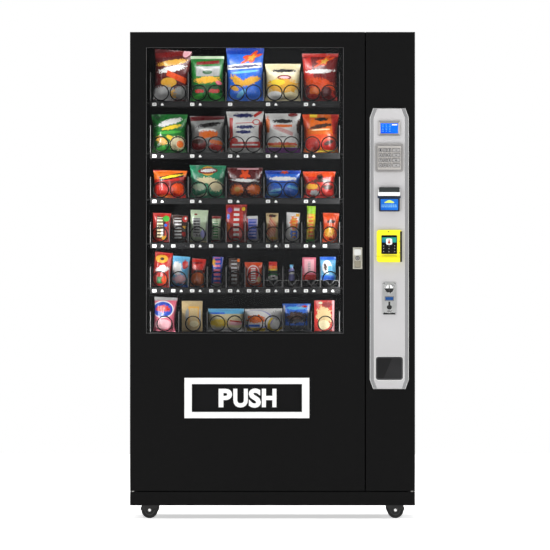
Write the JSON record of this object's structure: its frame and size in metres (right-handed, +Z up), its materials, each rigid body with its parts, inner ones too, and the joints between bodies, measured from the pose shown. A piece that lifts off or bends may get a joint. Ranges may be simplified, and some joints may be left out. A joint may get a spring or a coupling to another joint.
{
  "type": "snack vending machine",
  "caption": "Glass-fronted snack vending machine on casters, with spiral trays, a push-in delivery flap and a payment column with keypad, bill, card and coin units.",
  "frame": {"origin": "on the floor under the middle of the machine's box, front protrusions counted", "axes": "+Z up, -Y out of the front, +X to the right as one faces the machine"},
  "size_m": [1.136, 0.8446, 1.94],
  "materials": {
    "cabinet_black": "satin black powder coat",
    "liner_black": "matt black liner",
    "steel": "plain steel rod",
    "window_glass": "clear glazing",
    "white_plastic": "moulded white",
    "smoked_plastic": "smoked polycarbonate",
    "lock_steel": "brushed",
    "bezel_grey": "light grey fine texture",
    "display_frame": "grey frame with a blue screen",
    "keypad_metal": "grey anodised",
    "key_grey": "light keys",
    "bill_acceptor_plastic": "dark grey-green moulding",
    "reader_yellow": "yellow moulding",
    "coin_steel": "brushed stainless",
    "button_blue": "blue translucent",
    "tray_grey": "dark grey coat",
    "spiral_black": "black coated wire",
    "caster_black": "black",
    "wheel_rubber": "black tread"
  },
  "bodies": {
    "cabinet": {"cabinet_shell": "cabinet_black", "partition_wall": "liner_black", "base_plinth": "cabinet_black", "delivery_bin": "liner_black", "main_door_hinge_rod": "steel", "payment_door_hinge_rod": "steel"},
    "main_door": {"door_panel": "cabinet_black", "window_glass": "window_glass", "flap_surround": "white_plastic", "lock_housing": "lock_steel"},
    "push_flap": {"push_flap": "smoked_plastic"},
    "lock_handle": {"lock_handle": "lock_steel"},
    "payment_door": {"payment_door": "cabinet_black", "control_bezel": "bezel_grey", "display_unit": "display_frame", "keypad_housing": "keypad_metal", "bill_acceptor": "bill_acceptor_plastic", "card_reader": "reader_yellow", "coin_unit": "coin_steel"},
    "coin_reject_button": {"coin_reject_button": "button_blue"},
    "change_door": {"change_door": "smoked_plastic"},
    "key_row1_column1": {"key_row1_column1": "key_grey"},
    "key_row1_column2": {"key_row1_column2": "key_grey"},
    "key_row1_column3": {"key_row1_column3": "key_grey"},
    "key_row1_wide": {"key_row1_wide": "key_grey"},
    "key_row2_column1": {"key_row2_column1": "key_grey"},
    "key_row2_column2": {"key_row2_column2": "key_grey"},
    "key_row2_column3": {"key_row2_column3": "key_grey"},
    "key_row2_wide": {"key_row2_wide": "key_grey"},
    "key_row3_column1": {"key_row3_column1": "key_grey"},
    "key_row3_column2": {"key_row3_column2": "key_grey"},
    "key_row3_column3": {"key_row3_column3": "key_grey"},
    "key_row3_wide": {"key_row3_wide": "key_grey"},
    "key_row4_column1": {"key_row4_column1": "key_grey"},
    "key_row4_column2": {"key_row4_column2": "key_grey"},
    "key_row4_column3": {"key_row4_column3": "key_grey"},
    "key_row4_wide": {"key_row4_wide": "key_grey"},
    "caster_fork_front_left": {"caster_fork_front_left": "caster_black"},
    "caster_wheel_front_left": {"caster_wheel_front_left": "wheel_rubber"},
    "caster_fork_front_right": {"caster_fork_front_right": "caster_black"},
    "caster_wheel_front_right": {"caster_wheel_front_right": "wheel_rubber"},
    "caster_fork_rear_left": {"caster_fork_rear_left": "caster_black"},
    "caster_wheel_rear_left": {"caster_wheel_rear_left": "wheel_rubber"},
    "caster_fork_rear_right": {"caster_fork_rear_right": "caster_black"},
    "caster_wheel_rear_right": {"caster_wheel_rear_right": "wheel_rubber"},
    "tray_1": {"tray_1": "tray_grey"},
    "tray_2": {"tray_2": "tray_grey"},
    "tray_3": {"tray_3": "tray_grey"},
    "tray_4": {"tray_4": "tray_grey"},
    "tray_5": {"tray_5": "tray_grey"},
    "tray_6": {"tray_6": "tray_grey"},
    "spiral_1_left": {"spiral_1_left": "spiral_black"},
    "spiral_1_right": {"spiral_1_right": "spiral_black"},
    "spiral_2_left": {"spiral_2_left": "spiral_black"},
    "spiral_2_right": {"spiral_2_right": "spiral_black"},
    "spiral_3_left": {"spiral_3_left": "spiral_black"},
    "spiral_3_right": {"spiral_3_right": "spiral_black"},
    "spiral_4": {"spiral_4": "spiral_black"},
    "spiral_5": {"spiral_5": "spiral_black"},
    "spiral_6": {"spiral_6": "spiral_black"}
  },
  "joints": [
    {"name": "main_door_hinge", "type": "hinge", "parent": "cabinet", "child": "main_door", "pos_m": [-0.556, -0.3657, 0.111], "axis": [0, 0, -1], "range_deg": [0, 110]},
    {"name": "payment_door_hinge", "type": "hinge", "parent": "cabinet", "child": "payment_door", "pos_m": [0.556, -0.3657, 0.111], "axis": [0, 0, 1], "range_deg": [0, 100]},
    {"name": "push_flap_hinge", "type": "hinge", "parent": "main_door", "child": "push_flap", "pos_m": [-0.102, -0.3647, 0.5301], "axis": [1, 0, 0], "range_deg": [0, 60]},
    {"name": "lock_handle_pop_out", "type": "slide", "parent": "main_door", "child": "lock_handle", "axis": [0, -1, 0], "range_m": [0, 0.018]},
    {"name": "change_door_hinge", "type": "hinge", "parent": "payment_door", "child": "change_door", "pos_m": [0.4655, -0.388, 0.64085], "axis": [1, 0, 0], "range_deg": [0, 55]},
    {"name": "coin_reject_press", "type": "slide", "parent": "payment_door", "child": "coin_reject_button", "axis": [0, 1, 0], "range_m": [0, 0.004], "stiffness_N_per_m": 300},
    {"name": "key_row1_column1_press", "type": "slide", "parent": "payment_door", "child": "key_row1_column1", "axis": [0, 1, 0], "range_m": [0, 0.0015], "stiffness_N_per_m": 400},
    {"name": "key_row1_column2_press", "type": "slide", "parent": "payment_door", "child": "key_row1_column2", "axis": [0, 1, 0], "range_m": [0, 0.0015], "stiffness_N_per_m": 400},
    {"name": "key_row1_column3_press", "type": "slide", "parent": "payment_door", "child": "key_row1_column3", "axis": [0, 1, 0], "range_m": [0, 0.0015], "stiffness_N_per_m": 400},
    {"name": "key_row1_wide_press", "type": "slide", "parent": "payment_door", "child": "key_row1_wide", "axis": [0, 1, 0], "range_m": [0, 0.0015], "stiffness_N_per_m": 400},
    {"name": "key_row2_column1_press", "type": "slide", "parent": "payment_door", "child": "key_row2_column1", "axis": [0, 1, 0], "range_m": [0, 0.0015], "stiffness_N_per_m": 400},
    {"name": "key_row2_column2_press", "type": "slide", "parent": "payment_door", "child": "key_row2_column2", "axis": [0, 1, 0], "range_m": [0, 0.0015], "stiffness_N_per_m": 400},
    {"name": "key_row2_column3_press", "type": "slide", "parent": "payment_door", "child": "key_row2_column3", "axis": [0, 1, 0], "range_m": [0, 0.0015], "stiffness_N_per_m": 400},
    {"name": "key_row2_wide_press", "type": "slide", "parent": "payment_door", "child": "key_row2_wide", "axis": [0, 1, 0], "range_m": [0, 0.0015], "stiffness_N_per_m": 400},
    {"name": "key_row3_column1_press", "type": "slide", "parent": "payment_door", "child": "key_row3_column1", "axis": [0, 1, 0], "range_m": [0, 0.0015], "stiffness_N_per_m": 400},
    {"name": "key_row3_column2_press", "type": "slide", "parent": "payment_door", "child": "key_row3_column2", "axis": [0, 1, 0], "range_m": [0, 0.0015], "stiffness_N_per_m": 400},
    {"name": "key_row3_column3_press", "type": "slide", "parent": "payment_door", "child": "key_row3_column3", "axis": [0, 1, 0], "range_m": [0, 0.0015], "stiffness_N_per_m": 400},
    {"name": "key_row3_wide_press", "type": "slide", "parent": "payment_door", "child": "key_row3_wide", "axis": [0, 1, 0], "range_m": [0, 0.0015], "stiffness_N_per_m": 400},
    {"name": "key_row4_column1_press", "type": "slide", "parent": "payment_door", "child": "key_row4_column1", "axis": [0, 1, 0], "range_m": [0, 0.0015], "stiffness_N_per_m": 400},
    {"name": "key_row4_column2_press", "type": "slide", "parent": "payment_door", "child": "key_row4_column2", "axis": [0, 1, 0], "range_m": [0, 0.0015], "stiffness_N_per_m": 400},
    {"name": "key_row4_column3_press", "type": "slide", "parent": "payment_door", "child": "key_row4_column3", "axis": [0, 1, 0], "range_m": [0, 0.0015], "stiffness_N_per_m": 400},
    {"name": "key_row4_wide_press", "type": "slide", "parent": "payment_door", "child": "key_row4_wide", "axis": [0, 1, 0], "range_m": [0, 0.0015], "stiffness_N_per_m": 400},
    {"name": "caster_swivel_front_left", "type": "hinge", "parent": "cabinet", "child": "caster_fork_front_left", "pos_m": [-0.45, -0.2677, 0.086], "axis": [0, 0, 1], "continuous": true},
    {"name": "caster_roll_front_left", "type": "hinge", "parent": "caster_fork_front_left", "child": "caster_wheel_front_left", "pos_m": [-0.491, -0.2677, 0.0325], "axis": [0, 1, 0], "continuous": true},
    {"name": "caster_swivel_front_right", "type": "hinge", "parent": "cabinet", "child": "caster_fork_front_right", "pos_m": [0.45, -0.2677, 0.086], "axis": [0, 0, 1], "continuous": true},
    {"name": "caster_roll_front_right", "type": "hinge", "parent": "caster_fork_front_right", "child": "caster_wheel_front_right", "pos_m": [0.491, -0.2677, 0.0325], "axis": [0, 1, 0], "continuous": true},
    {"name": "caster_swivel_rear_left", "type": "hinge", "parent": "cabinet", "child": "caster_fork_rear_left", "pos_m": [-0.45, 0.3123, 0.086], "axis": [0, 0, 1], "continuous": true},
    {"name": "caster_roll_rear_left", "type": "hinge", "parent": "caster_fork_rear_left", "child": "caster_wheel_rear_left", "pos_m": [-0.491, 0.3123, 0.0325], "axis": [0, 1, 0], "continuous": true},
    {"name": "caster_swivel_rear_right", "type": "hinge", "parent": "cabinet", "child": "caster_fork_rear_right", "pos_m": [0.45, 0.3123, 0.086], "axis": [0, 0, 1], "continuous": true},
    {"name": "caster_roll_rear_right", "type": "hinge", "parent": "caster_fork_rear_right", "child": "caster_wheel_rear_right", "pos_m": [0.491, 0.3123, 0.0325], "axis": [0, 1, 0], "continuous": true},
    {"name": "tray_1_slide", "type": "slide", "parent": "cabinet", "child": "tray_1", "axis": [0, -1, 0], "range_m": [0, 0.09]},
    {"name": "tray_2_slide", "type": "slide", "parent": "cabinet", "child": "tray_2", "axis": [0, -1, 0], "range_m": [0, 0.09]},
    {"name": "tray_3_slide", "type": "slide", "parent": "cabinet", "child": "tray_3", "axis": [0, -1, 0], "range_m": [0, 0.09]},
    {"name": "tray_4_slide", "type": "slide", "parent": "cabinet", "child": "tray_4", "axis": [0, -1, 0], "range_m": [0, 0.09]},
    {"name": "tray_5_slide", "type": "slide", "parent": "cabinet", "child": "tray_5", "axis": [0, -1, 0], "range_m": [0, 0.09]},
    {"name": "tray_6_slide", "type": "slide", "parent": "cabinet", "child": "tray_6", "axis": [0, -1, 0], "range_m": [0, 0.09]},
    {"name": "spiral_1_left_turn", "type": "hinge", "parent": "tray_1", "child": "spiral_1_left", "pos_m": [-0.14377, -0.2267, 1.70152], "axis": [0, 1, 0], "continuous": true},
    {"name": "spiral_1_right_turn", "type": "hinge", "parent": "tray_1", "child": "spiral_1_right", "pos_m": [-0.07623, -0.2267, 1.70152], "axis": [0, 1, 0], "continuous": true},
    {"name": "spiral_2_left_turn", "type": "hinge", "parent": "tray_2", "child": "spiral_2_left", "pos_m": [-0.14377, -0.2267, 1.49455], "axis": [0, 1, 0], "continuous": true},
    {"name": "spiral_2_right_turn", "type": "hinge", "parent": "tray_2", "child": "spiral_2_right", "pos_m": [-0.07623, -0.2267, 1.49455], "axis": [0, 1, 0], "continuous": true},
    {"name": "spiral_3_left_turn", "type": "hinge", "parent": "tray_3", "child": "spiral_3_left", "pos_m": [-0.14377, -0.2267, 1.31344], "axis": [0, 1, 0], "continuous": true},
    {"name": "spiral_3_right_turn", "type": "hinge", "parent": "tray_3", "child": "spiral_3_right", "pos_m": [-0.07623, -0.2267, 1.31344], "axis": [0, 1, 0], "continuous": true},
    {"name": "spiral_4_turn", "type": "hinge", "parent": "tray_4", "child": "spiral_4", "pos_m": [-0.1479, -0.2267, 1.13439], "axis": [0, 1, 0], "continuous": true},
    {"name": "spiral_5_turn", "type": "hinge", "parent": "tray_5", "child": "spiral_5", "pos_m": [-0.1479, -0.2267, 0.95513], "axis": [0, 1, 0], "continuous": true},
    {"name": "spiral_6_turn", "type": "hinge", "parent": "tray_6", "child": "spiral_6", "pos_m": [-0.43215, -0.2267, 0.7768], "axis": [0, 1, 0], "continuous": true}
  ],
  "couplings": [
    {"joint": "spiral_1_right_turn", "follows": "spiral_1_left_turn", "ratio": -1},
    {"joint": "spiral_2_right_turn", "follows": "spiral_2_left_turn", "ratio": -1},
    {"joint": "spiral_3_right_turn", "follows": "spiral_3_left_turn", "ratio": -1}
  ]
}
